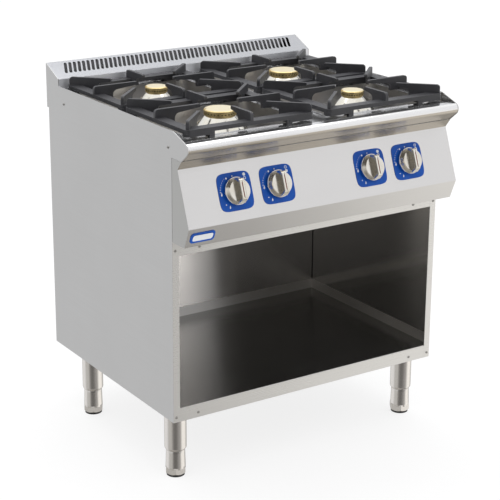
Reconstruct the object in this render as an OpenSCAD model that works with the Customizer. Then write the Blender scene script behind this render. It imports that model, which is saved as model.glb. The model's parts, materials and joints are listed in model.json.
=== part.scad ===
// Four-burner gas range on an open stainless cabinet.
// X runs to the right, Y to the back and Z up from the floor; the origin lies under the middle.

/* [Body] */
// Width over the side panels
body_w = 800; // [780:1:820]
// Depth from the front nose to the flue's back face
body_d = 720; // [715:1:735]
// Height of the cabinet's underside above the floor
leg_h = 172; // [165:1:185]
// Thickness of the stainless sheet
sheet = 2; // [1.5:0.5:2]

/* [Hob] */
// Width of one pan support
grate_w = 358; // [345:1:359]
// Depth of one pan support
grate_d = 293; // [288:1:294]
// Height of a finger above the bars
finger_rise = 21; // [15:1:25]
// Radius of the large burner caps
cap_r_large = 40; // [34:1:42]
// Radius of the small burner caps
cap_r_small = 29; // [24:1:33]
// Number of slots in the flue cover
slot_count = 54; // [20:1:54]

/* [Controls] */
// Width of a dial plate
dial_w = 93; // [84:1:98]
// Height of a dial plate
dial_h = 91; // [82:1:96]
// Radius of a knob at its base
knob_r = 33; // [28:1:36]

/* [Hidden] */
CORNERS = ["front_left", "front_right", "rear_left", "rear_right"];
$fn = 48;

// Heights above the floor
body_bottom = leg_h;
shelf_top = body_bottom + 35;
shelf_edge_top = shelf_top + 28;
rail_top = shelf_top - 1;
crossbar_bottom = body_bottom + 425;
panel_bottom = body_bottom + 462;
panel_fold = body_bottom + 511;
panel_corner = body_bottom + 643;
lip_bottom = body_bottom + 666;
cheek_bottom = body_bottom + 662;
hob_top_z = body_bottom + 712;
cheek_top = body_bottom + 730;
flue_front_top = body_bottom + 748;
flue_back_top = body_bottom + 780;
well_floor = hob_top_z - 38;
shield_z = panel_bottom - 8;

// Stations along Y
half_w = body_w / 2;
nose_y = -body_d / 2;
back_y = body_d / 2;
cabinet_front = nose_y + 73;
cabinet_back = back_y - 10;
knee_y = nose_y + 65;
flue_front_y = back_y - 70;
inner_back_y = back_y - 110;
corner_y = nose_y + 47;
fold_y = nose_y - 2;
panel_bottom_y = nose_y + 18;
lip_back_y = nose_y + 29;
inner_w = half_w - sheet;
flange = 18;
low_flange = 12;

// Rounded nose shared by the side panels and the hob's front lip
nose_r = 15;
nose_c = [nose_y + nose_r, hob_top_z - nose_r];

// Pan supports and burners
grate_gap_x = 42;
grate_gap_y = 14;
grate_front_y = nose_y + 40;
grate_x = (grate_w + grate_gap_x) / 2;
grate_y = [grate_front_y + grate_d / 2, grate_front_y + grate_d * 1.5 + grate_gap_y];
// The burners stand a little to the right of their pan supports' middles
burner_dx = 4;
bar_w = 28;
bar_h = 10;
bar_top = hob_top_z + 22;
bar_bottom = bar_top - bar_h;
finger_top = bar_top + finger_rise;
finger_t = 8;
cap_top = bar_top + 2;
cap_h = 15.5;
cap_bottom = cap_top - cap_h;
well_inset = 15;
well_r = 30;
rim_w = 4;
rim_h = 1.5;
bell_flare = 28;
mix_tube_r = 16;
mix_tube_bottom = well_floor - 56;
pilot_angle = 46;
probe_angle = 68;

// Control panel face: its normal leans up and forward
face_dir = unit([corner_y - fold_y, panel_corner - panel_fold]);
face_tilt = 90 - atan2(face_dir.x, face_dir.y);
knob_up = 70;
knob_yz = [fold_y, panel_fold] + face_dir * knob_up;
knob_x = [-258, -139, 139, 258];
knob_names = ["front_left", "rear_left", "rear_right", "front_right"];
dial_t = 1.2;
knob_gap = 6;
knob_face = 23;
knob_top = 38;
knob_face_r = 27.5;
skirt_h = 5;
ridge_w = 15;
// Side outline of the knob's bar grip, from its lower end to its upper end
ridge_side = concat(
    [[knob_r - 3, knob_gap + skirt_h - 1], [knob_r - 4, knob_face + 2]],
    arc([knob_r - 13, knob_top - 8], 8, 20, 90, 5),
    arc([-knob_r + 15, knob_top - 8], 8, 90, 150, 5),
    [[-knob_r + 2, knob_face - 3], [-knob_r + 1, knob_gap + skirt_h - 1]]
);
spindle_r = 4;
spindle_clear = 0.05;
plug_r = 8;
tap_depth = 44;
tap_r = 15;
manifold_r = 12;
manifold_yz = knob_yz + [34, -62];

// Gas inlet: its end is as far behind the origin as the knobs reach in front of it
inlet_x = 340;
inlet_z = manifold_yz.y;
inlet_end = max([for (p = ridge_side) -(knob_yz.x + p.x * cos(face_tilt) - p.y * sin(face_tilt))]);
inlet_r = 10.48;
elbow_r = 17;
elbow_reach = 18;

// Legs
leg_x = half_w - 42;
leg_y = [cabinet_front + 64, cabinet_back - 132];
sleeve_r = 28;
sleeve_bottom = 70;
foot_r = 25.5;
foot_gap = 0.5;
pad_h = 5;
pad_r = foot_r - 2.5;
foot_chamfer = 3;
stem_r = 8;

function unit(v) = v / norm(v);
function turn_left(v) = [-v.y, v.x];
function arc(c, r, a0, a1, n) = [
    for (i = [0:n]) let (a = a0 + (a1 - a0) * i / n) c + r * [cos(a), sin(a)]
];
function tangent_angle(p, c, r, s) = atan2(p.y - c.y, p.x - c.x) + s * acos(r / norm(p - c));
function reversed(v) = [for (i = [len(v) - 1:-1:0]) v[i]];
function corner_of(name) = search([name], CORNERS)[0];
function is_left(i) = i % 2 == 0;
function is_rear(i) = i > 1;
function side_sign(i) = is_left(i) ? -1 : 1;
function grate_pos(i) = [side_sign(i) * grate_x, grate_y[is_rear(i) ? 1 : 0]];
function burner_pos(i) = grate_pos(i) + [burner_dx, 0];
function is_large(i) = i == 0 || i == 3;
function cap_r(i) = is_large(i) ? cap_r_large : cap_r_small;
function bell_r(i) = cap_r(i) + bell_flare;
function pilot_reach(i) = bell_r(i) + 9;
function probe_reach(i) = bell_r(i) + 6;

// Path moved sideways by t, with mitred corners
function miter(a, b, c, t) =
    let (n1 = turn_left(unit(b - a)), n2 = turn_left(unit(c - b)), m = unit(n1 + n2))
    b + m * t / (m * n1);
function offset_path(p, t) = [
    for (i = [0:len(p) - 1])
        i == 0 ? p[0] + turn_left(unit(p[1] - p[0])) * t
        : i == len(p) - 1 ? p[i] + turn_left(unit(p[i] - p[i - 1])) * t
        : miter(p[i - 1], p[i], p[i + 1], t)
];

// Rounded square with bulged sides
function dial_outline(w, h) = [
    for (a = [0:360 / 72:359]) [
        sign(cos(a)) * w / 2 * pow(abs(cos(a)), 0.36),
        sign(sin(a)) * h / 2 * pow(abs(sin(a)), 0.36)
    ]
];

// Extrudes a YZ outline along X from x0 to x1
module along_x(x0, x1) {
    translate([x0, 0, 0]) rotate([90, 0, 90]) linear_extrude(x1 - x0) children();
}
// Extrudes an XZ outline along Y from y0 to y1
module along_y(y0, y1) {
    translate([0, y1, 0]) rotate([90, 0, 0]) linear_extrude(y1 - y0) children();
}
module bent_sheet(path, t, x0, x1) {
    along_x(x0, x1) polygon(concat(path, reversed(offset_path(path, t))));
}
module block(p0, p1) {
    translate(p0) cube(p1 - p0);
}
module rounded_rect(x, y, r) {
    translate([x[0] + r, y[0]]) square([x[1] - x[0] - 2 * r, y[1] - y[0]]);
    translate([x[0], y[0] + r]) square([x[1] - x[0], y[1] - y[0] - 2 * r]);
    for (cx = [x[0] + r, x[1] - r], cy = [y[0] + r, y[1] - r])
        translate([cx, cy]) circle(r);
}
// Places children at a knob's axis, with local Z out of the control panel
module at_knob(k) {
    translate([knob_x[k], knob_yz.x, knob_yz.y]) rotate([face_tilt, 0, 0]) children();
}
module at_grate(i) {
    translate([grate_pos(i).x, grate_pos(i).y, 0]) children();
}
module at_burner(i) {
    translate([burner_pos(i).x, burner_pos(i).y, 0]) children();
}
module at_leg(i) {
    translate([side_sign(i) * leg_x, leg_y[is_rear(i) ? 1 : 0], 0]) children();
}
// Straight pipe with a solid round section from a to b
module rod(a, b, r) {
    d = b - a;
    translate(a) rotate([0, acos(d.z / norm(d)), atan2(d.y, d.x)]) cylinder(h = norm(d), r = r);
}

/* Fasteners: places where the visible screws go */
rail_screw_z = body_bottom + 13;
bar_screw_z = crossbar_bottom + 14;
rail_screw_x = 330;
bar_screw_x = 325;
corner_screw_x = half_w - 8;
screw_head_r = 3.6;
screw_r = 2;
side_screws = [[back_y - 99, cheek_top - 43], [nose_y + 88, cheek_top - 42]];
module at_front_screws() {
    places = [
        [rail_screw_x, rail_screw_z], [corner_screw_x, rail_screw_z],
        [bar_screw_x, bar_screw_z], [corner_screw_x, bar_screw_z]
    ];
    for (p = places, s = [-1, 1])
        translate([s * p.x, cabinet_front, p.y]) rotate([90, 0, 0]) children();
}
module at_side_screws() {
    for (s = [-1, 1], p = side_screws)
        translate([s * half_w, p.x, p.y]) rotate([0, s * 90, 0]) children();
}
module screw() {
    difference() {
        cylinder(h = 1.8, r1 = screw_head_r, r2 = 2.6);
        translate([0, 0, 0.7]) cylinder(h = 2, r = 1.5, $fn = 6);
    }
    translate([0, 0, -sheet - 6]) cylinder(h = sheet + 6, r = screw_r - 0.1);
}
module screw_hole() {
    translate([0, 0, -sheet - 8]) cylinder(h = sheet + 9, r = screw_r);
}
module body_screws() color("lightgray") {
    at_front_screws() screw();
    at_side_screws() screw();
}

/* Cabinet */
function nose_outline(r) = arc(nose_c, r,
    tangent_angle([knee_y, cheek_top], nose_c, r, 1),
    tangent_angle([lip_back_y, lip_bottom], nose_c, r, -1) + 360, 10);
module side_outline() {
    polygon(concat(
        [
            [cabinet_back, body_bottom], [cabinet_front, body_bottom],
            [cabinet_front, lip_bottom], [lip_back_y, lip_bottom]
        ],
        reversed(nose_outline(nose_r)),
        [
            [knee_y, cheek_top], [flue_front_y, cheek_top], [flue_front_y, flue_front_top],
            [back_y, flue_back_top], [back_y, cheek_bottom], [cabinet_back, cheek_bottom]
        ]
    ));
}
module side_panel(s) color("silver") {
    difference() {
        union() {
            along_x(s < 0 ? -half_w : inner_w, s < 0 ? -inner_w : half_w) side_outline();
            for (y = [cabinet_front, cabinet_back - 2 * sheet])
                mirror([s < 0 ? 0 : 1, 0, 0])
                    block([-half_w, y, body_bottom], [-half_w + flange, y + sheet, panel_bottom - 1]);
            mirror([s < 0 ? 0 : 1, 0, 0])
                block([-half_w, cabinet_front, body_bottom],
                    [-half_w + low_flange, cabinet_back - sheet, body_bottom + sheet]);
        }
        at_front_screws() screw_hole();
        at_side_screws() screw_hole();
    }
}
module rear_panel() color("silver") {
    difference() {
        block([-inner_w, cabinet_back - sheet, body_bottom], [inner_w, cabinet_back, cheek_bottom]);
        translate([inlet_x, cabinet_back - 2 * sheet, inlet_z]) rotate([-90, 0, 0])
            cylinder(h = 4 * sheet, r = 12);
    }
}
module inner_back() color("silver") {
    block([-inner_w, inner_back_y, shelf_top], [inner_w, inner_back_y + 1.5, shield_z]);
    block([-inner_w, inner_back_y, shield_z - 1.5], [inner_w, inner_back_y + 16, shield_z]);
}
module bottom_shelf() color("gray") {
    front = cabinet_front + sheet;
    lip_t = 1.2;
    difference() {
        union() {
            block([-inner_w, front, shelf_top - sheet], [inner_w, inner_back_y, shelf_top]);
            block([-half_w + flange, front - 1, shelf_top - sheet], [half_w - flange, front + 1, shelf_top]);
            for (s = [0, 1]) mirror([s, 0, 0])
                block([-inner_w, front, shelf_top - sheet], [-inner_w + lip_t, inner_back_y, shelf_edge_top]);
            block([-inner_w, inner_back_y - lip_t, shelf_top - sheet],
                [inner_w, inner_back_y, shelf_edge_top]);
            // front rail with a return under it
            block([-half_w + flange, cabinet_front, body_bottom], [half_w - flange, front, rail_top]);
            block([-half_w + flange, cabinet_front, body_bottom],
                [half_w - flange, front + 20, body_bottom + sheet]);
            // lugs behind the side flanges, held by the corner screws
            for (s = [0, 1]) mirror([s, 0, 0])
                block([-half_w + 3, front, body_bottom + 2 * sheet],
                    [-half_w + flange + 6, front + sheet, shelf_top - 1]);
            // floor behind the inner back, which carries the rear legs
            block([-inner_w, inner_back_y + 2, shelf_top - sheet],
                [inner_w, cabinet_back - 2 * sheet, shelf_top]);
            block([-inner_w + 80, inner_back_y - 20, shelf_top - 2 * sheet],
                [inner_w - 80, inner_back_y + 20, shelf_top - sheet]);
        }
        at_front_screws() screw_hole();
    }
}
module front_crossbar() color("silver") {
    front = cabinet_front;
    difference() {
        union() {
            block([-half_w + flange, front, crossbar_bottom],
                [half_w - flange, front + sheet, panel_bottom - 1]);
            block([-half_w + flange, front, crossbar_bottom],
                [half_w - flange, front + 24, crossbar_bottom + sheet]);
            for (s = [0, 1]) mirror([s, 0, 0])
                block([-half_w + 3, front + sheet, crossbar_bottom + 4],
                    [-half_w + flange + 6, front + 2 * sheet, panel_bottom - 4]);
        }
        at_front_screws() screw_hole();
    }
}
module heat_shield() color("gray") {
    front = cabinet_front + 2 * sheet + 1;
    back = cabinet_back - 2 * sheet;
    block([-inner_w, front, shield_z], [inner_w, back, shield_z + 1.5]);
    for (s = [0, 1]) mirror([s, 0, 0])
        block([-inner_w, front, shield_z], [-inner_w + 1.5, back, shield_z + 18]);
}

/* Hob */
// Solid with a well's outline, grown by a margin, from height z0 to z1
module wells(grow, z0, z1) {
    m = well_inset - grow;
    for (i = [0:3]) at_grate(i) translate([0, 0, z0]) linear_extrude(z1 - z0)
        rounded_rect([m - grate_w / 2, grate_w / 2 - m], [m - grate_d / 2, grate_d / 2 - m], well_r + grow);
}
function lip_path() = concat(
    [[nose_y + 27, hob_top_z]],
    nose_outline(nose_r - 0.5),
    [[lip_back_y + 0.5, lip_bottom + 1]]
);
module hob_top() color("gainsboro") {
    back = flue_front_y - sheet;
    front = nose_y + 26;
    difference() {
        union() {
            difference() {
                union() {
                    block([-inner_w, front, hob_top_z - sheet], [inner_w, back, hob_top_z]);
                    wells(sheet, well_floor - sheet, hob_top_z);
                    wells(rim_w, hob_top_z - 1, hob_top_z + rim_h);
                }
                wells(0, well_floor, hob_top_z + rim_h + 1);
            }
            bent_sheet(lip_path(), sheet, -inner_w, inner_w);
            // rims along the side panels and the flue
            for (s = [0, 1]) mirror([s, 0, 0])
                block([-inner_w, knee_y, hob_top_z - sheet], [-inner_w + sheet, back, cheek_top - 1]);
            block([-inner_w, back - sheet, hob_top_z - sheet], [inner_w, back, hob_top_z + 10]);
        }
        for (i = [0:3]) at_burner(i) {
            translate([0, 0, well_floor - 10]) cylinder(h = 20, r = mix_tube_r + 3);
            rotate(pilot_angle) translate([pilot_reach(i), 0, well_floor - 10]) cylinder(h = 20, r = 3.2);
            rotate(probe_angle) translate([probe_reach(i), 0, well_floor - 10]) cylinder(h = 20, r = 2.4);
        }
        at_side_screws() screw_hole();
    }
}
slot_span = body_w - 88;
slot_lean = 21;
slot_w = 8.2;
slot_low = 23;
slot_high = 68;
slot_len = (slot_high - slot_low) / cos(slot_lean);
module slot() {
    straight = slot_len - slot_w;
    square([slot_w, straight], center = true);
    for (s = [-1, 1]) translate([0, s * straight / 2]) circle(slot_w / 2);
}
module flue_cover() color("gainsboro") {
    slope = [back_y, flue_back_top] - [flue_front_y, flue_front_top];
    tilt = atan2(slope.y, slope.x);
    path = [
        [flue_front_y, hob_top_z], [flue_front_y, flue_front_top - 0.5],
        [back_y, flue_back_top - 0.5], [back_y, cheek_bottom]
    ];
    difference() {
        bent_sheet(path, -sheet, -inner_w, inner_w);
        translate([0, flue_front_y, flue_front_top]) rotate([tilt, 0, 0])
            for (k = [0:slot_count - 1])
                translate([(k / (slot_count - 1) - 0.5) * slot_span, (slot_low + slot_high) / 2, -6])
                    linear_extrude(12) rotate(-slot_lean) slot();
        at_side_screws() screw_hole();
    }
}

/* Control panel */
module control_panel() color("whitesmoke") {
    path = [
        [lip_back_y + 0.5, lip_bottom - 0.5], [corner_y, panel_corner], [fold_y, panel_fold],
        [panel_bottom_y, panel_bottom], [cabinet_front - 2, panel_bottom]
    ];
    cheek = concat([for (i = [0:3]) path[i]],
        [[cabinet_front - 1.2, panel_bottom], [cabinet_front - 1.2, lip_bottom - 0.5]]);
    difference() {
        union() {
            bent_sheet(path, sheet, -inner_w, inner_w);
            for (s = [0, 1]) mirror([s, 0, 0]) along_x(-half_w, -inner_w) polygon(cheek);
        }
        for (k = [0:3]) at_knob(k) translate([0, 0, -20]) cylinder(h = 40, r = 7);
    }
}
badge_w = 66;
badge_h = 28;
module badge_plate() color("royalblue") {
    low = [panel_bottom_y, panel_bottom];
    high = [fold_y, panel_fold];
    mid = (low + high) / 2;
    d = unit(high - low);
    translate([-half_w + 10 + badge_w / 2, mid.x, mid.y])
        rotate([90 - atan2(d.x, d.y), 0, 0])
            linear_extrude(1.6)
                rounded_rect([-badge_w / 2, badge_w / 2], [-badge_h / 2, badge_h / 2], 8);
}
module dial_plate(k) color("royalblue") {
    at_knob(k) difference() {
        linear_extrude(dial_t) polygon(dial_outline(dial_w, dial_h));
        translate([0, 0, -5]) cylinder(h = 10, r = 7);
    }
}
module ridge() {
    // bar grip: its cross-section, cut to its side outline
    intersection() {
        rotate([90, 0, 0]) linear_extrude(3 * knob_r, center = true) difference() {
            polygon([
                [-ridge_w / 2 - 1.5, knob_face - 3], [ridge_w / 2 + 1.5, knob_face - 3],
                [ridge_w / 2 - 0.5, knob_top - 1.5], [ridge_w / 2 - 2, knob_top],
                [-ridge_w / 2 + 2, knob_top], [-ridge_w / 2 + 0.5, knob_top - 1.5]
            ]);
            translate([-1.3, knob_top - 1]) square([2.6, 2]);
        }
        rotate([90, 0, 90]) linear_extrude(3 * knob_r, center = true) polygon(ridge_side);
    }
}
module knob(k) color("silver") {
    at_knob(k) difference() {
        union() {
            translate([0, 0, knob_gap]) cylinder(h = skirt_h, r = knob_r);
            translate([0, 0, knob_gap + skirt_h])
                cylinder(h = knob_face - knob_gap - skirt_h, r1 = knob_r - 1, r2 = knob_face_r);
            ridge();
        }
        translate([0, 0, knob_gap - 1]) cylinder(h = 22, r = spindle_r + spindle_clear);
        translate([0, 0, knob_gap - 1]) difference() {
            cylinder(h = 12, r = knob_r - 7);
            cylinder(h = 12, r = 9);
        }
    }
}
module spindle(k) color("darkgray") {
    at_knob(k) {
        translate([0, 0, -30]) cylinder(h = 30 + knob_gap + 20, r = spindle_r);
        translate([0, 0, -11]) cylinder(h = 2, r = spindle_r + 1.5);
    }
}
module tap_plug(k) color("goldenrod") {
    at_knob(k) difference() {
        translate([0, 0, 4 - tap_depth]) cylinder(h = tap_depth - 20, r = plug_r - spindle_clear);
        translate([0, 0, -tap_depth]) cylinder(h = tap_depth, r = spindle_r + spindle_clear);
        // gas way through the plug
        translate([0, 0, -28]) rotate([0, 90, 0]) cylinder(h = 40, r = 2.5);
    }
}

/* Gas line */
function tap_axis(k, depth) = [
    knob_x[k], knob_yz.x + depth * sin(face_tilt), knob_yz.y - depth * cos(face_tilt)
];
module gas_taps() color("goldenrod") {
    for (k = [0:3]) difference() {
        union() {
            at_knob(k) translate([0, 0, -tap_depth]) cylinder(h = tap_depth - sheet, r = tap_r);
            rod(tap_axis(k, 28), [knob_x[k], manifold_yz.x, manifold_yz.y + manifold_r], 7);
            rod(tap_axis(k, 34), tap_axis(k, 34) + [0, 26, 0], 6);
        }
        at_knob(k) translate([0, 0, 2 - tap_depth]) cylinder(h = tap_depth, r = plug_r);
        translate([0, manifold_yz.x, manifold_yz.y]) rotate([0, 90, 0])
            cylinder(h = body_w, r = manifold_r, center = true);
    }
}
module gas_manifold() color("darkgray") {
    difference() {
        union() {
            rod([-300, manifold_yz.x, manifold_yz.y],
                [inlet_x - elbow_reach, manifold_yz.x, manifold_yz.y], manifold_r);
            translate([-306, manifold_yz.x, manifold_yz.y]) rotate([0, 90, 0])
                cylinder(h = 6, r = 14, $fn = 6);
        }
        rod([-296, manifold_yz.x, manifold_yz.y], [inlet_x, manifold_yz.x, manifold_yz.y], manifold_r - 3);
    }
}
module gas_inlet_pipe() color("darkgray") {
    elbow = [inlet_x, manifold_yz.x, inlet_z];
    difference() {
        union() {
            translate(elbow - [0, 0, elbow_r]) cylinder(h = 2 * elbow_r, r = elbow_r);
            rod(elbow, [inlet_x, cabinet_back - 22, inlet_z], 10);
            rod(elbow - [elbow_reach, 0, 0], elbow, 14);
            rod([inlet_x, cabinet_back - 40, inlet_z], [inlet_x, cabinet_back - 22, inlet_z], 14);
        }
        rod(elbow, [inlet_x, cabinet_back, inlet_z], 7);
        rod(elbow - [20, 0, 0], elbow, 9);
    }
}
module gas_inlet_nipple() color("goldenrod") {
    axis = [inlet_x, 0, inlet_z];
    difference() {
        union() {
            rod(axis + [0, cabinet_back - 22, 0], axis + [0, cabinet_back + 14, 0], 11);
            rod(axis + [0, cabinet_back + 8, 0], axis + [0, inlet_end, 0], inlet_r);
            translate(axis + [0, cabinet_back, 0]) rotate([-90, 0, 0]) cylinder(h = 8, r = 17, $fn = 6);
        }
        rod(axis, axis + [0, inlet_end + 1, 0], 7);
    }
}
function pipe_end(i) = [burner_pos(i).x, burner_pos(i).y, mix_tube_bottom - 24];
function knob_of(i) = search([CORNERS[i]], knob_names)[0];
module supply_pipes() color("peru") {
    r = 4;
    for (i = [0:3]) {
        start = tap_axis(knob_of(i), 34) + [0, 26, 0];
        foot = pipe_end(i) - [0, 0, 24];
        bend = [start.x, is_rear(i) ? burner_pos(i).y - 90 : start.y + 30, start.z];
        drop = [foot.x, foot.y, start.z];
        rod(start, bend, r);
        translate(bend) sphere(r + 1.5);
        rod(bend, drop, r);
        translate(drop) sphere(r + 1.5);
        rod(drop, pipe_end(i) - [0, 0, 4], r);
    }
}
module gas_injectors() color("goldenrod") {
    for (i = [0:3]) translate(pipe_end(i)) {
        translate([0, 0, -4]) cylinder(h = 12, r = 9, $fn = 6);
        translate([0, 0, 8]) cylinder(h = 10, r = 5);
        translate([0, 0, 18]) cylinder(h = 5, r1 = 5, r2 = 2);
        // bracket that hangs from the mixing tube
        difference() {
            translate([-24, -8, -6]) cube([48, 16, 2]);
            translate([0, 0, -8]) cylinder(h = 6, r = 4.5);
        }
        for (s = [-1, 1]) translate([s * 23 - 1, -8, -6]) cube([2, 16, 30 + 10]);
    }
}

/* Burners */
window_angle = 245;
window_w = 16;
module burner_body(i) color("whitesmoke") {
    r = cap_r(i);
    base = bell_r(i);
    z0 = well_floor;
    at_burner(i) difference() {
        union() {
            rotate_extrude($fn = 96) polygon([
                [mix_tube_r, z0], [base, z0], [base, z0 + 12], [base - 2, z0 + 15],
                [r - 1, cap_bottom - 2], [r - 3, cap_bottom], [mix_tube_r, cap_bottom]
            ]);
            translate([0, 0, mix_tube_bottom]) cylinder(h = cap_bottom - mix_tube_bottom, r = mix_tube_r + 2);
            translate([0, 0, mix_tube_bottom]) cylinder(h = 6, r = 22);
        }
        translate([0, 0, mix_tube_bottom - 1]) cylinder(h = 120, r = mix_tube_r);
        translate([0, 0, cap_bottom - 14]) cylinder(h = 20, r = r - 12);
        // window in the rear left bell
        if (i == 2) rotate(window_angle)
            translate([base - 14, -window_w / 2, z0 + 17]) cube([20, window_w, 12]);
    }
}
port_count = 28;
module burner_cap(i) color("gold") {
    r = cap_r(i);
    at_burner(i) difference() {
        union() {
            rotate_extrude($fn = 96) polygon([
                [0, cap_bottom + 5], [r - 14, cap_bottom + 5],
                [r - 14, cap_bottom - 8], [r - 12.6, cap_bottom - 8],
                [r - 12.6, cap_bottom], [r - 1.5, cap_bottom], [r, cap_bottom + 2], [r, cap_top - 2],
                [r - 2, cap_top], [0, cap_top]
            ]);
        }
        for (k = [0:port_count - 1])
            rotate(k * 360 / port_count) translate([r, 0, cap_bottom + 6.5]) rotate([0, 90, 0])
                cylinder(h = 6, r = 1.7, center = true);
        // location notch
        rotate(160) translate([r - 5, -3, cap_top - 2.5]) cube([6, 6, 4]);
    }
}
module pilot_burners() color("silver") {
    for (i = [0:3]) at_burner(i) rotate(pilot_angle) translate([pilot_reach(i), 0, 0]) {
        translate([0, 0, well_floor - 40]) cylinder(h = 60, r = 3);
        translate([0, 0, well_floor]) cylinder(h = 4, r = 7, $fn = 6);
        translate([0, 0, well_floor + 20]) cylinder(h = 9, r = 5);
        translate([0, 0, well_floor + 29]) cylinder(h = 3, r1 = 5, r2 = 3.5);
    }
}
module thermocouples() color("peru") {
    for (i = [0:3]) at_burner(i) rotate(probe_angle) translate([probe_reach(i), 0, 0]) {
        translate([0, 0, well_floor - 40]) cylinder(h = 70, r = 2.2);
        translate([0, 0, well_floor]) cylinder(h = 5, r = 5, $fn = 6);
        translate([0, 0, well_floor + 30]) sphere(2.6);
    }
}

/* Pan supports */
// Upright plate: it runs inwards from the outer edge, deep over its root and arched up beyond
module finger(length, root, tip_h, arch_h, arch_r) {
    low = bar_bottom - 3;
    rotate([90, 0, 0]) linear_extrude(finger_t, center = true) polygon(concat(
        [[0, bar_top - 2]],
        arc([8, finger_top - 8], 8, 180, 90, 5),
        [[length - 2, finger_top], [length, finger_top - 2], [length, finger_top - tip_h]],
        arc([root + arch_r, finger_top - arch_h - arch_r], arch_r, 90, 180, 6),
        [[root, low], [bar_w - 4, low], [bar_w - 4, bar_top - 2]]
    ));
}
corner_w = 79;
corner_r = 11;
inner_r = 10;
foot_w = 14;
finger_side = 125;
finger_front = 87;
finger_root = 54;
finger_corner = 112;
finger_corner_root = 79;
module grate(i) color("dimgray") {
    w = grate_w / 2;
    d = grate_d / 2;
    at_grate(i) {
        difference() {
            translate([0, 0, bar_bottom]) linear_extrude(bar_h) rounded_rect([-w, w], [-d, d], corner_r);
            translate([0, 0, bar_bottom - 1]) linear_extrude(bar_h + 2)
                rounded_rect([bar_w - w, w - bar_w], [bar_w - d, d - bar_w], inner_r);
        }
        // deep corners, and feet under the bars
        for (sx = [0, 1], sy = [0, 1]) mirror([sx, 0, 0]) mirror([0, sy, 0]) {
            translate([0, 0, hob_top_z + 5]) linear_extrude(bar_bottom - hob_top_z - 4)
                rounded_rect([-w, -w + corner_w], [-d, -d + bar_w - 2], corner_r - 1);
            block([-w + corner_w - 2 - foot_w, -d + 1, hob_top_z],
                [-w + corner_w - 2, -d + well_inset - rim_w - 2, bar_bottom + 1]);
        }
        for (a = [0, 180]) rotate(a) {
            translate([-w, 0, 0]) finger(finger_side, finger_root, 8, 14, 13);
            translate([0, -d, 0]) rotate(90) finger(finger_front, finger_root, 8, 13, 10);
        }
        for (s = [0, 1], a = [0, 180]) mirror([s, 0, 0]) rotate(a)
            translate([-w + 5, -d + 5, 0]) rotate(45) finger(finger_corner, finger_corner_root, 8, 12, 8);
    }
}

/* Legs */
module leg(i) color("silver") {
    top = shelf_top - sheet;
    at_leg(i) {
        difference() {
            rotate_extrude($fn = 96) polygon(concat(
                [[stem_r + 0.05, sleeve_bottom], [foot_r - 1, sleeve_bottom]],
                arc([sleeve_r - 7, sleeve_bottom + 7], 7, -60, 0, 6),
                [[sleeve_r, top - 3], [stem_r + 0.05, top - 3]]
            ));
            translate([0, 0, sleeve_bottom + 20])
                cylinder(h = top - sleeve_bottom - 22, r = sleeve_r - 3);
        }
        translate([-32, -32, top - 3]) cube([64, 64, 3]);
    }
}
module foot(i) color("darkgray") {
    hex_top = 24;
    at_leg(i) {
        difference() {
            union() {
                translate([0, 0, hex_top - 4])
                    cylinder(h = sleeve_bottom - foot_gap - hex_top + 4, r1 = foot_r, r2 = foot_r - 1.5);
                translate([0, 0, pad_h]) cylinder(h = hex_top - pad_h, r = foot_r + 2.5, $fn = 6);
            }
            // chamfer round the lower end
            difference() {
                translate([0, 0, -1]) cylinder(h = pad_h + 9, r = foot_r + 12);
                translate([0, 0, pad_h - 1])
                    cylinder(h = pad_h + 9, r1 = foot_r - foot_chamfer,
                        r2 = foot_r + pad_h + 9 - foot_chamfer);
            }
        }
        translate([0, 0, sleeve_bottom - foot_gap - 1]) cylinder(h = 82, r = stem_r);
    }
}
module foot_pad(i) color("black") {
    at_leg(i) cylinder(h = pad_h, r = pad_r);
}

side_panel(-1);  // side_panel_left
side_panel(1);  // side_panel_right
rear_panel();
inner_back();
bottom_shelf();
front_crossbar();
heat_shield();
hob_top();
flue_cover();
control_panel();
badge_plate();
gas_taps();
gas_manifold();
supply_pipes();
gas_injectors();
pilot_burners();
thermocouples();
gas_inlet_pipe();
gas_inlet_nipple();
body_screws();
for (k = [0:3]) {
    dial_plate(k);
    tap_plug(k);
    spindle(k);
    knob(k);
}
for (i = [0:3]) {
    burner_body(i);
    burner_cap(i);
    grate(i);
    leg(i);
    foot(i);
    foot_pad(i);
}
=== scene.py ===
"""Looks for a four-burner gas range: finishes, dial marks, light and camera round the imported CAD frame."""

import json
import math

import bmesh
import bpy
from mathutils import Matrix, Vector


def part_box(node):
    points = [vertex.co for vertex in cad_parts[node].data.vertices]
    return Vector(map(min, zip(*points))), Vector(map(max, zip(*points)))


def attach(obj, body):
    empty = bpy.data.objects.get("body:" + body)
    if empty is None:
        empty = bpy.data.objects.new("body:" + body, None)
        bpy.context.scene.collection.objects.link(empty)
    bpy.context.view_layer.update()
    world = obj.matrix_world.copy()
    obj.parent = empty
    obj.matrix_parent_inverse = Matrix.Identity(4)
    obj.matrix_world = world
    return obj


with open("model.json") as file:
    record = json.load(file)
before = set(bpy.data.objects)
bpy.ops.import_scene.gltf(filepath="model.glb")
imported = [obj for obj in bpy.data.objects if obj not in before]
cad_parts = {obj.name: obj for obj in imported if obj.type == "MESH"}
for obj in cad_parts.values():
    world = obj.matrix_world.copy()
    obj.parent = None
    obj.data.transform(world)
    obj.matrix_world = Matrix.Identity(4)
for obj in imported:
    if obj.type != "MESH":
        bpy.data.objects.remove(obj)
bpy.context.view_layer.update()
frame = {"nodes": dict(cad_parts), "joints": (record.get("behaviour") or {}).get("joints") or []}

MM = 0.001
NODES = frame["nodes"]
JOINTS = {joint["name"]: joint for joint in frame["joints"]}
CORNERS = ["front_left", "front_right", "rear_left", "rear_right"]
KNOBS = ["front_left", "rear_left", "rear_right", "front_right"]

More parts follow.
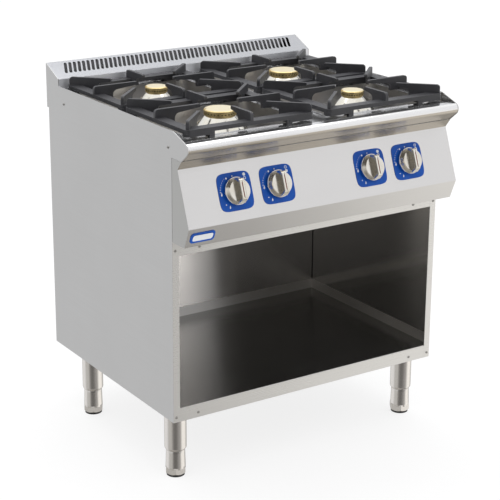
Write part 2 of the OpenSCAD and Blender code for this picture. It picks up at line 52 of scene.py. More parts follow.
# Camera: place in metres, turn and downward pitch in degrees
CAMERA_PLACE = (-2.0751, -3.1339, 1.7093)
CAMERA_YAW = 32.207
CAMERA_PITCH = 16.792
CAMERA_LENS = 106.96
CAMERA_SHIFT = (0.07, -0.08)

# Heights along a knob's axis, in millimetres from the control panel's face, as the CAD model has them
DIAL_TOP = 1.2
GROOVE_FLOOR = 37.0
# Print: how far it stands up and how deep it is sunk; the knob's pointer line is thicker
PRINT_THICKNESS = 0.15
PRINT_SUNK = 0.05
LINE_HEIGHT = 0.45
# Pointer line: width, length and corner radius
LINE_OUTLINE = (2.2, 36, 0.9)
# Power scale on a dial: radius, first angle, step and number of dots
SCALE_RADIUS = 41
SCALE_START = 128
SCALE_STEP = 8
SCALE_DOTS = 7
# Two dots at a dial's corner show whether its burner is a rear or a front one
PLACE_UPPER = (31, 36.5)
PLACE_LOWER = (31.5, 27.5)
# Blank field on the badge: border round it and corner radius
BADGE_BORDER = 5.5
BADGE_CORNER = 5.5
SEAM_WIDTH = 2.2
# Gas ports of a burner cap: height of their row above its lower end, half its width, and the two
# distances in from the rim between which their walls lie
PORT_RISE = 14.5
PORT_HALF = 1.9
PORT_DEPTH = 4
PORT_MOUTH = 0.4
# The hob's lip starts this far in front of the cabinet, and the panel's top channel lies this near its
# upper edge; the wells start this far below the pan supports
LIP_REACH = 40
WELL_MARGIN = 5
SHEET = 2 * MM
# Edges sharper than this, in degrees, are rounded; points closer than the gap are one point
SHARP_ANGLE = 32
WELD_GAP = 0.005

# Scale of the brushing along X, Y and Z: coarse along the sheet's rolling direction
GRAIN_X = (3, 900, 900)
GRAIN_Y = (900, 3, 900)
GRAIN_Z = (900, 900, 3)
# Directions in which the brushing smears reflections
UPRIGHT = (0, 0, 1)
BACKWARDS = (0, 1, 0)
ROUND_LIP = (0, 1, 1)
# Rolled sheet: colour, roughness, grain, direction and strength of the smear, depth of the grain
SHEETS = {
    "side": ((0.60, 0.60, 0.60), 0.30, GRAIN_Y, UPRIGHT, 0.9, 0.03),
    "cheek": ((0.50, 0.50, 0.49), 0.30, GRAIN_Y, UPRIGHT, 0.9, 0.03),
    "inner_back": ((0.60, 0.585, 0.57), 0.21, GRAIN_X, UPRIGHT, 1.0, 0.008),
    "inner_side": ((0.60, 0.59, 0.57), 0.09, GRAIN_Y, UPRIGHT, 0.7, 0.015),
    "shelf": ((0.37, 0.37, 0.365), 0.18, GRAIN_X, BACKWARDS, 0.9, 0.03),
    # Upstands of the shelf: the same sheet painted far lighter than the shelf floor, a painted highlight
    "strip_painted_highlight": ((0.88, 0.86, 0.83), 0.36, GRAIN_X, UPRIGHT, 0.9, 0.03),
    "front": ((0.80, 0.79, 0.77), 0.26, GRAIN_X, UPRIGHT, 0.9, 0.01),
    "panel": ((0.80, 0.79, 0.78), 0.22, GRAIN_X, UPRIGHT, 0.9, 0.03),
    "hob": ((0.84, 0.84, 0.84), 0.13, GRAIN_X, ROUND_LIP, 0.9, 0.03),
    "flue": ((0.56, 0.57, 0.60), 0.15, GRAIN_X, BACKWARDS, 0.9, 0.03),
    # Top and front of the hob's lip: the same steel painted lighter, a painted highlight
    "lip_top_painted_highlight": ((0.95, 0.95, 0.95), 0.22, GRAIN_X, ROUND_LIP, 0.9, 0.03),
    # Inside of the wells: the hob's steel painted darker, painted shade in the recess
    "well": ((0.52, 0.51, 0.50), 0.30, GRAIN_X, BACKWARDS, 0.6, 0.03),
    "flue_front": ((0.90, 0.91, 0.94), 0.50, GRAIN_X, UPRIGHT, 0.6, 0.03),
    # Underside of the lip and of the panel's top channel: the same steel painted darker and warmer, painted
    # shade
    "lip_under_painted_shade": ((0.57, 0.53, 0.47), 0.22, GRAIN_X, UPRIGHT, 0.9, 0.03),
    "hidden": ((0.50, 0.50, 0.50), 0.32, GRAIN_X, UPRIGHT, 0.9, 0.03),
    "leg": ((0.88, 0.85, 0.82), 0.22, GRAIN_Z, UPRIGHT, 0.4, 0.03),
}
# Fittings: colour, roughness
FITTINGS = {
    "screw_steel": ((0.45, 0.44, 0.42), 0.25),
    "tap_brass": ((0.72, 0.52, 0.22), 0.34),
    "tube_copper": ((0.72, 0.38, 0.22), 0.30),
    "pipe_steel": ((0.46, 0.46, 0.45), 0.38),
    "burnt_brass": ((0.16, 0.10, 0.04), 0.6),
}

# Surroundings. Rise in degrees and colour, from straight down to straight up
SKY_BASE = [
    (-90, (0.34, 0.325, 0.30)),
    (-45, (0.42, 0.405, 0.38)),
    (-12, (0.55, 0.545, 0.53)),
    (5, (0.72, 0.73, 0.75)),
    (45, (1.06, 1.07, 1.11)),
    (90, (1.05, 1.05, 1.06)),
]
# Heading from +X in degrees, rise, radius of the full patch, radius where it has faded, colour
SKY_PATCHES = [
    (-55, 32, 20, 44, (0.86, 0.86, 0.875)),
    (-28, -22, 12, 40, (0.98, 0.96, 0.92)),
    (122, -22, 18, 42, (0.78, 0.78, 0.78)),
    (-58, -62, 8, 27, (0.22, 0.21, 0.20)),
    (-82, -14, 10, 31, (0.34, 0.33, 0.32)),
    (-122, 0, 24, 46, (0.13, 0.125, 0.12)),
]
# What the camera sees behind the floor
BACKDROP = (0.95, 0.95, 0.95)
# Half the floor's width, in metres
FLOOR_HALF = 60.0


# ---------------------------------------------------------------- shader help


class Nodes:
    """A node tree, with short calls for the nodes that are used here."""

    def __init__(self, tree):
        self.tree = tree

    def add(self, kind, inputs=None, **settings):
        """Adds a node; each input is a value, or another node's output, which is linked."""
        node = self.tree.nodes.new(kind)
        for key, value in settings.items():
            setattr(node, key, value)
        for key, value in (inputs or {}).items():
            self.feed(node.inputs[key], value)
        return node

    def feed(self, socket, value):
        if isinstance(value, bpy.types.NodeSocket):
            self.tree.links.new(value, socket)
        else:
            socket.default_value = value

    def spread(self, value, low, high, start=0.3, end=0.7):
        """Maps start..end of a value to low..high, smoothly."""
        made = self.add(
            "ShaderNodeMapRange",
            {"Value": value, "From Min": start, "From Max": end, "To Min": low, "To Max": high},
            interpolation_type="SMOOTHSTEP",
        )
        return made.outputs["Result"]

    def math(self, operation, a, b=0.0):
        return self.add("ShaderNodeMath", {0: a, 1: b}, operation=operation).outputs[0]

    def vector(self, operation, a, b=(0, 0, 0)):
        return self.add("ShaderNodeVectorMath", {0: a, 1: b}, operation=operation).outputs

    def mix(self, share, first, second):
        """Mixes two colours, given as three numbers or as sockets."""
        sides = {"Factor": share, "A": self.rgba(first), "B": self.rgba(second)}
        return self.add("ShaderNodeMix", sides, data_type="RGBA").outputs["Result"]

    @staticmethod
    def rgba(colour):
        if isinstance(colour, bpy.types.NodeSocket):
            return colour
        return (*colour, 1.0)


class Shader(Nodes):
    """A new material and its node tree."""

    def __init__(self, name):
        self.material = bpy.data.materials.new(name)
        self.material.use_nodes = True
        super().__init__(self.material.node_tree)
        self.surface = self.tree.nodes["Principled BSDF"]
        self.place = self.add("ShaderNodeTexCoord").outputs["Object"]

    def set(self, **values):
        """Sets the surface shader's sockets: base_color=... stands for Base Color."""
        for key, value in values.items():
            name = "Specular IOR Level" if key == "ior_level" else key.replace("_", " ").title()
            self.feed(self.surface.inputs[name], value)

    def noise(self, scale, stretch=(1, 1, 1), detail=3.0, rough=0.55):
        """Noise from 0 to 1; stretch multiplies the scale along X, Y and Z."""
        mapped = self.add("ShaderNodeMapping", {"Vector": self.place, "Scale": stretch})
        made = self.add(
            "ShaderNodeTexNoise",
            {"Vector": mapped.outputs[0], "Scale": scale, "Detail": detail, "Roughness": rough},
        )
        return made.outputs["Fac"]

    def bump(self, height, strength, distance, under=None):
        made = self.add("ShaderNodeBump", {"Height": height, "Strength": strength, "Distance": distance})
        if under is not None:
            self.feed(made.inputs["Normal"], under)
        return made.outputs["Normal"]

    def rounded(self, radius):
        """Normal that looks rounded along sharp edges; the radius is in metres."""
        return self.add("ShaderNodeBevel", {"Radius": radius}, samples=4).outputs["Normal"]

    def edges(self, radius):
        """1 along sharp edges and 0 on flat faces: how far a rounded normal leans from the true one."""
        true = self.add("ShaderNodeNewGeometry").outputs["Normal"]
        same = self.vector("DOT_PRODUCT", self.rounded(radius), true)["Value"]
        return self.spread(self.math("SUBTRACT", 1.0, same), 0.0, 1.0, 0.0, 0.12)

    def off_axis(self, centre, axis):
        """Distance in metres from a line, for turned parts."""
        moved = self.vector("SUBTRACT", self.place, centre)[0]
        return self.vector("LENGTH", self.vector("CROSS_PRODUCT", moved, axis)[0])["Value"]


def scaled(colour, factor):
    return tuple(channel * factor for channel in colour)


# ------------------------------------------------------------------ materials


def brushed_steel(name, colour, roughness, grain, blur, stretch, bump):
    """Rolled stainless sheet: fine grain, which smears reflections along blur, and soft smudges."""
    s = Shader(name)
    lines = s.noise(1.0, grain, detail=4.0, rough=0.65)
    smudge = s.noise(4.0, detail=2.0)
    tint = s.mix(s.spread(smudge, 0.0, 1.0), scaled(colour, 0.98), scaled(colour, 1.02))
    tint = s.mix(s.spread(lines, 0.0, 0.5), tint, scaled(colour, 0.95))
    # Lighter along sharp edges: a painted highlight, as if the rounded edges caught the light
    tint = s.mix(s.math("MULTIPLY", s.edges(0.8 * MM), 0.35), tint, (0.85, 0.85, 0.84))
    matt = s.spread(smudge, roughness - 0.01, roughness + 0.015)
    matt = s.math("ADD", matt, s.spread(lines, 0.0, 0.03))
    along = s.add("ShaderNodeCombineXYZ", {"X": blur[0], "Y": blur[1], "Z": blur[2]}).outputs[0]
    skin = s.bump(lines, bump, 0.05 * MM, under=s.rounded(0.8 * MM))
    s.set(base_color=tint, metallic=1.0, roughness=matt, normal=skin)
    s.set(anisotropic=stretch, tangent=along)
    return s.material


def turned_metal(name, colour, centre, axis, roughness, pitch, tarnish=(0.9, 0.85, 0.75), bump=0.25):
    """Metal turned on a lathe: fine rings round an axis, with a little tarnish."""
    s = Shader(name)
    rings = s.math("SINE", s.math("MULTIPLY", s.off_axis(centre, axis), 2 * math.pi / pitch))
    grain = s.noise(260.0, detail=4.0)
    stain = s.noise(38.0, detail=3.0)
    tint = s.mix(s.spread(stain, 0.0, 0.7), colour, tuple(c * t for c, t in zip(colour, tarnish)))
    # Lighter along sharp edges: a painted highlight
    tint = s.mix(s.math("MULTIPLY", s.edges(0.6 * MM), 0.5), tint, scaled(colour, 1.15))
    matt = s.math("ADD", s.spread(grain, roughness - 0.03, roughness + 0.05), s.spread(stain, 0.0, 0.08))
    height = s.math("ADD", s.math("MULTIPLY", rings, 0.5), s.math("MULTIPLY", grain, 0.4))
    s.set(base_color=tint, metallic=1.0, roughness=matt, normal=s.bump(height, bump, 0.06 * MM))
    return s.material


def cast_metal(name, colour, roughness):
    """Cast or drawn metal for fittings: grainy, with uneven colour and edges painted lighter as a highlight.
    """
    s = Shader(name)
    grain = s.noise(420.0, detail=5.0)
    stain = s.noise(30.0, detail=4.0)
    tint = s.mix(s.spread(stain, 0.0, 1.0), scaled(colour, 0.8), scaled(colour, 1.05))
    # Lighter along sharp edges: a painted highlight
    tint = s.mix(s.math("MULTIPLY", s.edges(1.0 * MM), 0.5), tint, scaled(colour, 1.3))
    matt = s.math("ADD", s.spread(grain, roughness - 0.05, roughness + 0.08), s.spread(stain, 0.0, 0.1))
    s.set(base_color=tint, metallic=1.0, roughness=matt, normal=s.bump(grain, 0.3, 0.1 * MM))
    return s.material


def enamelled_iron(name):
    """Cast iron under matt grey-black enamel: grainy casting, with edges painted lighter as a highlight."""
    s = Shader(name)
    casting = s.noise(240.0, detail=5.0, rough=0.6)
    pits = s.noise(900.0, detail=2.0)
    patches = s.noise(14.0, detail=3.0)
    tint = s.mix(s.spread(patches, 0.0, 1.0), (0.034, 0.034, 0.038), (0.050, 0.050, 0.056))
    # Lighter along sharp edges: a painted highlight
    tint = s.mix(s.math("MULTIPLY", s.edges(1.2 * MM), 0.6), tint, (0.16, 0.16, 0.17))
    matt = s.math("ADD", s.spread(casting, 0.36, 0.5), s.spread(patches, 0.0, 0.06))
    skin = s.bump(pits, 0.15, 0.1 * MM, under=s.bump(casting, 0.28, 0.3 * MM))
    s.set(base_color=tint, roughness=matt, normal=skin, ior_level=0.6)
    return s.material


def printed_blue(name):
    """Glossy blue printed plate with a faint orange-peel skin and a darker rim."""
    s = Shader(name)
    peel = s.noise(520.0, detail=2.0)
    cloud = s.noise(26.0, detail=2.0)
    tint = s.mix(s.spread(cloud, 0.0, 1.0), (0.006, 0.080, 0.42), (0.009, 0.100, 0.50))
    tint = s.mix(s.math("MULTIPLY", s.edges(1.0 * MM), 0.6), tint, (0.006, 0.03, 0.17))
    s.set(base_color=tint, roughness=s.spread(cloud, 0.30, 0.40), normal=s.bump(peel, 0.05, 0.1 * MM))
    s.set(ior_level=0.25)
    return s.material


def print_ink(name, colour):
    """Thin print: nearly flat, with a slightly uneven cover."""
    s = Shader(name)
    cover = s.noise(800.0, detail=3.0)
    s.set(base_color=s.mix(s.spread(cover, 0.0, 0.5), colour, scaled(colour, 0.85)))
    s.set(roughness=s.spread(cover, 0.38, 0.5), normal=s.bump(cover, 0.08, 0.05 * MM))
    return s.material


def rubber(name):
    """Dull black rubber with a little dust; the same dark look stands for painted shade in the cabinet's
    rear corners.
    """
    s = Shader(name)
    grain = s.noise(700.0, detail=4.0)
    dust = s.noise(40.0, detail=3.0)
    s.set(base_color=s.mix(s.spread(dust, 0.0, 0.5), (0.012, 0.012, 0.012), (0.05, 0.048, 0.045)))
    s.set(roughness=s.spread(grain, 0.6, 0.8), normal=s.bump(grain, 0.25, 0.2 * MM))
    return s.material


def knob_metal(name, centre, axis):
    """Satin plated knob: warm nickel over a moulded body, with fine turning rings."""
    return turned_metal(name, (0.86, 0.83, 0.76), centre, axis, 0.13, 0.7 * MM,
                        tarnish=(0.95, 0.92, 0.86), bump=0.05)


def floor_paper(name):
    """Plain pale floor that gives some light of its own."""
    s = Shader(name)
    fibre = s.noise(3.0, detail=5.0)
    paper = s.mix(s.spread(fibre, 0.0, 1.0), (0.22, 0.22, 0.22), (0.23, 0.23, 0.23))
    s.set(base_color=paper, roughness=0.9, emission_color=(1, 1, 1, 1), emission_strength=0.80)
    return s.material


LOOKS = {name: brushed_steel(f"{name}_steel", *row) for name, row in SHEETS.items()}
LOOKS.update({name: cast_metal(name, *row) for name, row in FITTINGS.items()})
LOOKS["iron"] = enamelled_iron("enamelled_iron")
LOOKS["blue"] = printed_blue("printed_blue")
LOOKS["pad"] = rubber("foot_rubber")
WHITE_INK = print_ink("white_ink", (0.86, 0.88, 0.90))
RED_INK = print_ink("red_ink", (0.20, 0.035, 0.02))
# Dark strip material for the cabinet's rear corners: painted shade
CORNER_PAINTED_SHADE = rubber("corner_painted_shade")


# ----------------------------------------------------------------- node looks


def dress(node, material):
    """Gives a CAD node one material on every face."""
    mesh = NODES[node].data
    mesh.materials.clear()
    mesh.materials.append(material)
    for face in mesh.polygons:
        face.material_index = 0


def dress_faces(node, material, chosen):
    """Gives another material to the faces for which chosen(middle, normal) is true."""
    mesh = NODES[node].data
    mesh.materials.append(material)
    for face in mesh.polygons:
        if chosen(face.center, face.normal):
            face.material_index = len(mesh.materials) - 1


def soften(node, width, segments=2):
    """Rounds a CAD node's sharp edges a little, so that they catch the light. Width is in millimetres."""
    weld = NODES[node].modifiers.new("weld", "WELD")
    weld.merge_threshold = WELD_GAP * MM
    bevel = NODES[node].modifiers.new("edge", "BEVEL")
    bevel.width = width * MM
    bevel.segments = segments
    bevel.limit_method = "ANGLE"
    bevel.angle_limit = math.radians(SHARP_ANGLE)
    bevel.use_clamp_overlap = True
    bevel.harden_normals = True


def dress_cabinet():
    """The open cabinet: sides, inner wall, shelf, crossbar, and the panels that close its back and top."""
    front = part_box("front_crossbar")[0].y
    shelf_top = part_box("inner_back")[0].z
    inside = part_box("side_panel_right")[1].x - SHEET / 2
    for node in ("side_panel_left", "side_panel_right"):
        dress(node, LOOKS["side"])
        dress_faces(node, LOOKS["inner_side"], lambda at, n: abs(n.x) > 0.9 and abs(at.x) < inside)
        dress_faces(node, LOOKS["front"], lambda at, n: n.y < -0.9 and at.y < front + SHEET)
    dress("inner_back", LOOKS["inner_back"])
    dress("front_crossbar", LOOKS["front"])
    dress("bottom_shelf", LOOKS["shelf"])
    # Shelf upstands: painted highlight
    dress_faces("bottom_shelf", LOOKS["strip_painted_highlight"], lambda at, n: at.z > shelf_top + 1 * MM)
    dress_faces("bottom_shelf", LOOKS["front"], lambda at, n: at.y < front + SHEET)
    dress("rear_panel", LOOKS["hidden"])
    dress("heat_shield", LOOKS["hidden"])
    dress("body_screws", LOOKS["screw_steel"])


def dress_hob():
    """The hob's flat surface, wells painted darker as shade, rounded lip painted lighter on its top as a
    highlight and darker underneath as shade, and the flue cover with its shaded slots.
    """
    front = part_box("front_crossbar")[0].y
    nose = front - LIP_REACH * MM
    well_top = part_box("grate_front_left")[0].z - WELL_MARGIN * MM
    flue_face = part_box("flue_cover")[0].y + 1 * MM
    dress("hob_top", LOOKS["hob"])
    # Lip faces that face forward and up: painted highlight
    dress_faces("hob_top", LOOKS["lip_top_painted_highlight"], lambda at, n: n.y < -0.1 and n.z > -0.1 and at.y < nose)
    # Lip faces that face down: painted shade
    dress_faces("hob_top", LOOKS["lip_under_painted_shade"], lambda at, n: n.z < -0.1 and n.y < 0 and at.y < nose)
    # Recessed well faces: painted shade
    dress_faces("hob_top", LOOKS["well"], lambda at, n: at.z < well_top and at.y > front)
    dress("flue_cover", LOOKS["flue"])
    dress_faces("flue_cover", LOOKS["flue_front"], lambda at, n: n.y < -0.9 and at.y < flue_face)
    dress_faces("flue_cover", LOOKS["hidden"], lambda at, n: n.y < -0.9 and at.y > flue_face)


def dress_controls():
    """Control panel, badge, dials, knobs and the gas fittings behind them."""
    channel_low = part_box("control_panel")[1].z - LIP_REACH * MM
    dress("control_panel", LOOKS["panel"])
    dress_faces("control_panel", LOOKS["cheek"], lambda at, n: abs(n.x) > 0.9)
    # Downward faces of the panel's top channel: painted shade
    dress_faces("control_panel", LOOKS["lip_under_painted_shade"],
                lambda at, n: n.z < -0.1 and n.y < 0 and at.z > channel_low)
    dress("badge_plate", LOOKS["blue"])
    for node in ("gas_taps", "gas_injectors", "gas_inlet_nipple"):
        dress(node, LOOKS["tap_brass"])
    for node in ("gas_manifold", "gas_inlet_pipe", "pilot_burners"):
        dress(node, LOOKS["pipe_steel"])
    for node in ("supply_pipes", "thermocouples"):
        dress(node, LOOKS["tube_copper"])
    for name in KNOBS:
        joint = JOINTS[f"tap_turn_{name}"]
        dress(f"dial_plate_{name}", LOOKS["blue"])
        dress(f"tap_plug_{name}", LOOKS["tap_brass"])
        dress(f"spindle_{name}", LOOKS["pipe_steel"])
        dress(f"knob_{name}", knob_metal(f"knob_metal_{name}", joint["pos_m"], joint["axis"]))
        soften(f"dial_plate_{name}", 0.4)
        soften(f"knob_{name}", 0.35)


def in_ports(low, high):
    """Test for the walls of the gas ports in a cap whose box is low..high."""
    centre = (low + high) / 2
    reach = (high.x - low.x) / 2

    def chosen(at, _):
        out = math.hypot(at.x - centre.x, at.y - centre.y)
        in_row = abs(at.z - low.z - PORT_RISE * MM) < PORT_HALF * MM
        return in_row and reach - PORT_DEPTH * MM < out < reach - PORT_MOUTH * MM

    return chosen


def dress_burner(name):
    """Brass cap with a brighter rim and burnt ports, spun steel bell, and the pan support over them."""
    low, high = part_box(f"burner_cap_{name}")
    centre = (low + high) / 2
    cap = turned_metal(f"cap_brass_{name}", (0.94, 0.86, 0.64), centre, UPRIGHT, 0.36, 1.1 * MM,
                       tarnish=(0.94, 0.90, 0.80), bump=0.12)
    rim = turned_metal(f"cap_rim_{name}", (0.90, 0.73, 0.37), centre, UPRIGHT, 0.26, 1.1 * MM,
                       bump=0.12)
    bell = turned_metal(f"bell_steel_{name}", (0.86, 0.84, 0.78), centre, UPRIGHT, 0.13, 1.6 * MM,
                        tarnish=(0.94, 0.92, 0.84))
    dress(f"burner_cap_{name}", cap)
    dress_faces(f"burner_cap_{name}", rim, lambda at, n: n.z < 0.8)
    dress_faces(f"burner_cap_{name}", LOOKS["burnt_brass"], in_ports(low, high))
    dress(f"burner_body_{name}", bell)
    dress(f"grate_{name}", LOOKS["iron"])
    soften(f"burner_cap_{name}", 0.5)
    soften(f"burner_body_{name}", 0.6)
    soften(f"grate_{name}", 1.2, segments=3)


def dress_leg(name):
    """Steel sleeve and foot on a rubber pad."""
    dress(f"leg_{name}", LOOKS["leg"])
    dress(f"foot_{name}", LOOKS["leg"])
    dress(f"foot_pad_{name}", LOOKS["pad"])
    soften(f"foot_{name}", 0.5)


# ------------------------------------------------------------------- trim


def disc(radius, centre, count=28):
    """Outline of a round dot."""
    return [
        (centre[0] + radius * math.cos(2 * math.pi * i / count),
         centre[1] + radius * math.sin(2 * math.pi * i / count))
        for i in range(count)
    ]


def flame(width, height, centre):
    """Outline of a drop-shaped flame with a leaning tip."""
    points = []
    for i in range(32):
        turn = 2 * math.pi * i / 32
        pinch = ((1 - math.cos(turn)) / 2) ** 1.4
        lean = 0.12 * height * (1 + math.cos(turn)) / 2
        points.append((centre[0] + lean + width / 2 * math.sin(turn) * pinch ** 0.5,
                       centre[1] + height / 2 * math.cos(turn)))
    return points



def rounded_outline(width, height, radius, steps=8):
    """Outline of a rectangle with rounded corners."""
    points = []
    for quarter, (sx, sy) in enumerate([(1, 1), (-1, 1), (-1, -1), (1, -1)]):
        centre = (sx * (width / 2 - radius), sy * (height / 2 - radius))
        for i in range(steps + 1):
            turn = math.pi / 2 * (quarter + i / steps)
            points.append((centre[0] + radius * math.cos(turn), centre[1] + radius * math.sin(turn)))
    return points


def plates(name, outlines, low, high, rings=()):
    """One mesh of flat plates from height low to high, in millimetres: an outline makes a full plate,
    and a ring's outer and inner outline make a plate with a hole."""
    shape = bmesh.new()
    for outline in outlines:
        top = [shape.verts.new((x, y, high)) for x, y in outline]
        bottom = [shape.verts.new((x, y, low)) for x, y in outline]
        shape.faces.new(top)
        shape.faces.new(reversed(bottom))
        wall(shape, top, bottom)
    for outer, inner in rings:
        ring_plate(shape, outer, inner, low, high)
    bmesh.ops.recalc_face_normals(shape, faces=shape.faces)
    mesh = bpy.data.meshes.new(name)
    shape.to_mesh(mesh)
    shape.free()
    mesh.transform(Matrix.Scale(MM, 4))
    piece = bpy.data.objects.new(name, mesh)
    bpy.context.scene.collection.objects.link(piece)
    return piece


def wall(shape, top, bottom):
    """Faces between two rows of as many points, all the way round."""
    for i in range(len(top)):
        j = (i + 1) % len(top)
        shape.faces.new((top[i], bottom[i], bottom[j], top[j]))



def ring_plate(shape, outer, inner, low, high):
    """Plate with a hole, as four rows of points joined in turn."""
    rows = [
        [shape.verts.new((x, y, z)) for x, y in outline]
        for outline, z in ((outer, high), (inner, high), (inner, low), (outer, low))
    ]
    for first, second in zip(rows, rows[1:] + rows[:1]):
        wall(shape, first, second)


def knob_place(name):
    """Placement at a knob's axis: X to the right, Y up the panel, Z out of it."""
    joint = JOINTS[f"tap_turn_{name}"]
    out = Vector(joint["axis"]).normalized()
    right = Vector((1, 0, 0))
    up = out.cross(right)
    turn = Matrix((right, up, out)).transposed().to_4x4()
    return Matrix.Translation(Vector(joint["pos_m"])) @ turn


def finish_trim(piece, material, body, place=None):
    """Puts a trim piece in its place and gives it its material and body."""
    if place is not None:
        piece.data.transform(place)
    piece.data.materials.append(material)
    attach(piece, body)


def add_dial_marks(name, filled_top):
    """White print on a dial plate: off mark, spark, power scale, flames and the burner's place."""
    off_mark = disc(2.2, (-19, 33))
    spark = disc(1.5, (-2, 36.5))
    full_flame = flame(5.6, 9.5, (-39, -2))
    small_flame = flame(4.6, 7.5, (-22, -34.5))
    scale_end = disc(1.4, (-31, -28))
    outlines = [off_mark, spark, full_flame, small_flame, scale_end]
    for i in range(SCALE_DOTS):
        turn = math.radians(SCALE_START + SCALE_STEP * i)
        at = (SCALE_RADIUS * math.cos(turn), SCALE_RADIUS * math.sin(turn))
        outlines.append(disc(0.65 + 0.1 * i, at, 16))
    dot, ring = (PLACE_UPPER, PLACE_LOWER) if filled_top else (PLACE_LOWER, PLACE_UPPER)
    outlines.append(disc(3.9, dot))
    marks = plates(f"dial_marks_{name}", outlines, DIAL_TOP - PRINT_SUNK, DIAL_TOP + PRINT_THICKNESS,
                   rings=[(disc(3.7, ring), disc(2.3, ring))])
    finish_trim(marks, WHITE_INK, "frame", knob_place(name))


def add_knob_line(name):
    """Brown-red pointer line in the groove of the knob's grip."""
    line = plates(f"knob_line_{name}", [rounded_outline(*LINE_OUTLINE)],
                  GROOVE_FLOOR - PRINT_SUNK, GROOVE_FLOOR + LINE_HEIGHT)
    finish_trim(line, RED_INK, f"control_{name}", knob_place(name))


def add_corner_seam(name, side):
    """Dark strip in a rear corner of the open cabinet: painted shade for the shadow gap there; side is -1 on
    the left and 1 on the right.
    """
    wall_low, wall_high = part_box("inner_back")
    shelf_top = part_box("bottom_shelf")[1].z
    corner = (side * wall_high.x / MM, wall_low.y / MM)
    outline = [corner]
    for degrees in range(0, 91, 15):
        turn = math.radians(degrees)
        outline.append((corner[0] - side * SEAM_WIDTH * (1 - math.sin(turn)),
                        corner[1] - SEAM_WIDTH * (1 - math.cos(turn))))
    bead = plates(f"corner_seam_{name}", [outline], shelf_top / MM, (wall_high.z - SHEET) / MM)
    finish_trim(bead, CORNER_PAINTED_SHADE, "frame")


def add_badge_face():
    """Blank pale field on the blue badge."""
    low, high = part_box("badge_plate")
    up = Vector((0, low.y - high.y, high.z - low.z)).normalized()
    right = Vector((1, 0, 0))
    out = right.cross(up)
    turn = Matrix((right, up, out)).transposed().to_4x4()
    points = [vertex.co for vertex in NODES["badge_plate"].data.vertices]
    top = max(point.dot(out) for point in points) / MM
    rises = [point.dot(up) / MM for point in points]
    middle = (low + high) / 2
    middle -= out * middle.dot(out)
    width = (high.x - low.x) / MM - 2 * BADGE_BORDER
    height = max(rises) - min(rises) - 2 * BADGE_BORDER
    field = rounded_outline(width, height, BADGE_CORNER)
    face = plates("badge_face", [field], top - PRINT_SUNK, top + PRINT_THICKNESS)
    finish_trim(face, WHITE_INK, "frame", Matrix.Translation(middle) @ turn)


# ------------------------------------------------------------- light, camera


def direction(heading, rise):
    """Unit vector from a heading and a rise in degrees."""
    flat = math.cos(math.radians(rise))
    turn = math.radians(heading)
    return (flat * math.cos(turn), flat * math.sin(turn), math.sin(math.radians(rise)))


def add_sky():
    """Studio surroundings: a base that changes with height, and soft round patches of light or dark."""
    world = bpy.data.worlds.new("studio")
    bpy.context.scene.world = world
    world.use_nodes = True
    sky = Nodes(world.node_tree)
    towards = sky.add("ShaderNodeTexCoord").outputs["Generated"]
    split = sky.add("ShaderNodeSeparateXYZ", {0: towards})
    height = sky.add("ShaderNodeMapRange", {"Value": split.outputs["Z"], "From Min": -1.0})
    ramp = sky.add("ShaderNodeValToRGB", {0: height.outputs[0]})
    ramp.color_ramp.interpolation = "B_SPLINE"
    stops = ramp.color_ramp.elements
    while len(stops) < len(SKY_BASE):
        stops.new(1.0)
    for stop, (rise, colour) in zip(stops, SKY_BASE):
        stop.position = (math.sin(math.radians(rise)) + 1) / 2
        stop.color = (*colour, 1.0)
    shade = ramp.outputs["Color"]
    for heading, rise, inner, outer, colour in SKY_PATCHES:
        near = sky.vector("DOT_PRODUCT", towards, direction(heading, rise))["Value"]
        far_edge, full_edge = (math.cos(math.radians(angle)) for angle in (outer, inner))
        shade = sky.mix(sky.spread(near, 0.0, 1.0, far_edge, full_edge), shade, colour)
    seen = sky.add("ShaderNodeLightPath").outputs["Is Camera Ray"]
    back = world.node_tree.nodes["Background"]
    sky.feed(back.inputs["Color"], sky.mix(seen, shade, BACKDROP))
    sky.feed(back.inputs["Strength"], 1.0)


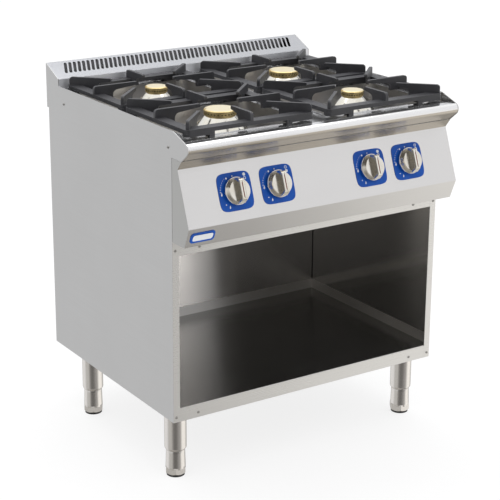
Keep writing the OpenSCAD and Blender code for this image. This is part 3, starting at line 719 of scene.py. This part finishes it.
def softbox(name, place, aim, size, power, colour=(1, 1, 1)):
    """Rectangular lamp at a place, turned towards aim. Power is in watts."""
    light = bpy.data.lights.new(name, "AREA")
    light.shape = "RECTANGLE"
    light.size, light.size_y = size
    light.energy = power
    light.color = colour
    lamp = bpy.data.objects.new(name, light)
    bpy.context.scene.collection.objects.link(lamp)
    lamp.location = place
    lamp.rotation_euler = (Vector(aim) - Vector(place)).to_track_quat("-Z", "Y").to_euler()
    return lamp



def add_lamps():
    """A wide lamp overhead, and a small one that lights the cabinet's inner back wall alone."""
    softbox("top_softbox", place=(0.3, 0.4, 3.0), aim=(0, 0, 0.9), size=(2.6, 1.4), power=18)
    wall_softbox = softbox("wall_softbox", place=(1.10, -2.0, 0.34), aim=(-0.23, 0.25, 0.4),
                           size=(0.22, 0.5), power=3.0, colour=(1, 0.97, 0.94))
    lit = bpy.data.collections.new("lit_by_wall_softbox")
    lit.objects.link(NODES["inner_back"])
    wall_softbox.light_linking.receiver_collection = lit


def add_floor():
    """Wide plain floor that mirrors in nothing."""
    corners = [(sx * FLOOR_HALF, sy * FLOOR_HALF, 0) for sx, sy in ((-1, -1), (1, -1), (1, 1), (-1, 1))]
    mesh = bpy.data.meshes.new("floor")
    mesh.from_pydata(corners, [], [(0, 1, 2, 3)])
    floor = bpy.data.objects.new("floor", mesh)
    bpy.context.scene.collection.objects.link(floor)
    mesh.materials.append(floor_paper("floor_paper"))
    floor.visible_glossy = False


def add_camera():
    camera = bpy.data.cameras.new("camera")
    camera.sensor_width = 36
    camera.lens = CAMERA_LENS
    camera.shift_x, camera.shift_y = CAMERA_SHIFT
    camera.clip_end = 300
    eye = bpy.data.objects.new("camera", camera)
    bpy.context.scene.collection.objects.link(eye)
    eye.location = CAMERA_PLACE
    eye.rotation_euler = (math.radians(90 - CAMERA_PITCH), 0, math.radians(-CAMERA_YAW))
    bpy.context.scene.camera = eye


dress_cabinet()
dress_hob()
dress_controls()
for corner_name in CORNERS:
    dress_burner(corner_name)
    dress_leg(corner_name)
for knob in KNOBS:
    add_dial_marks(knob, filled_top=knob in ("front_left", "rear_right"))
    add_knob_line(knob)
add_badge_face()
add_corner_seam("left", -1)
add_corner_seam("right", 1)
add_floor()
add_camera()
bpy.context.scene.view_settings.view_transform = "Standard"
add_sky()
add_lamps()
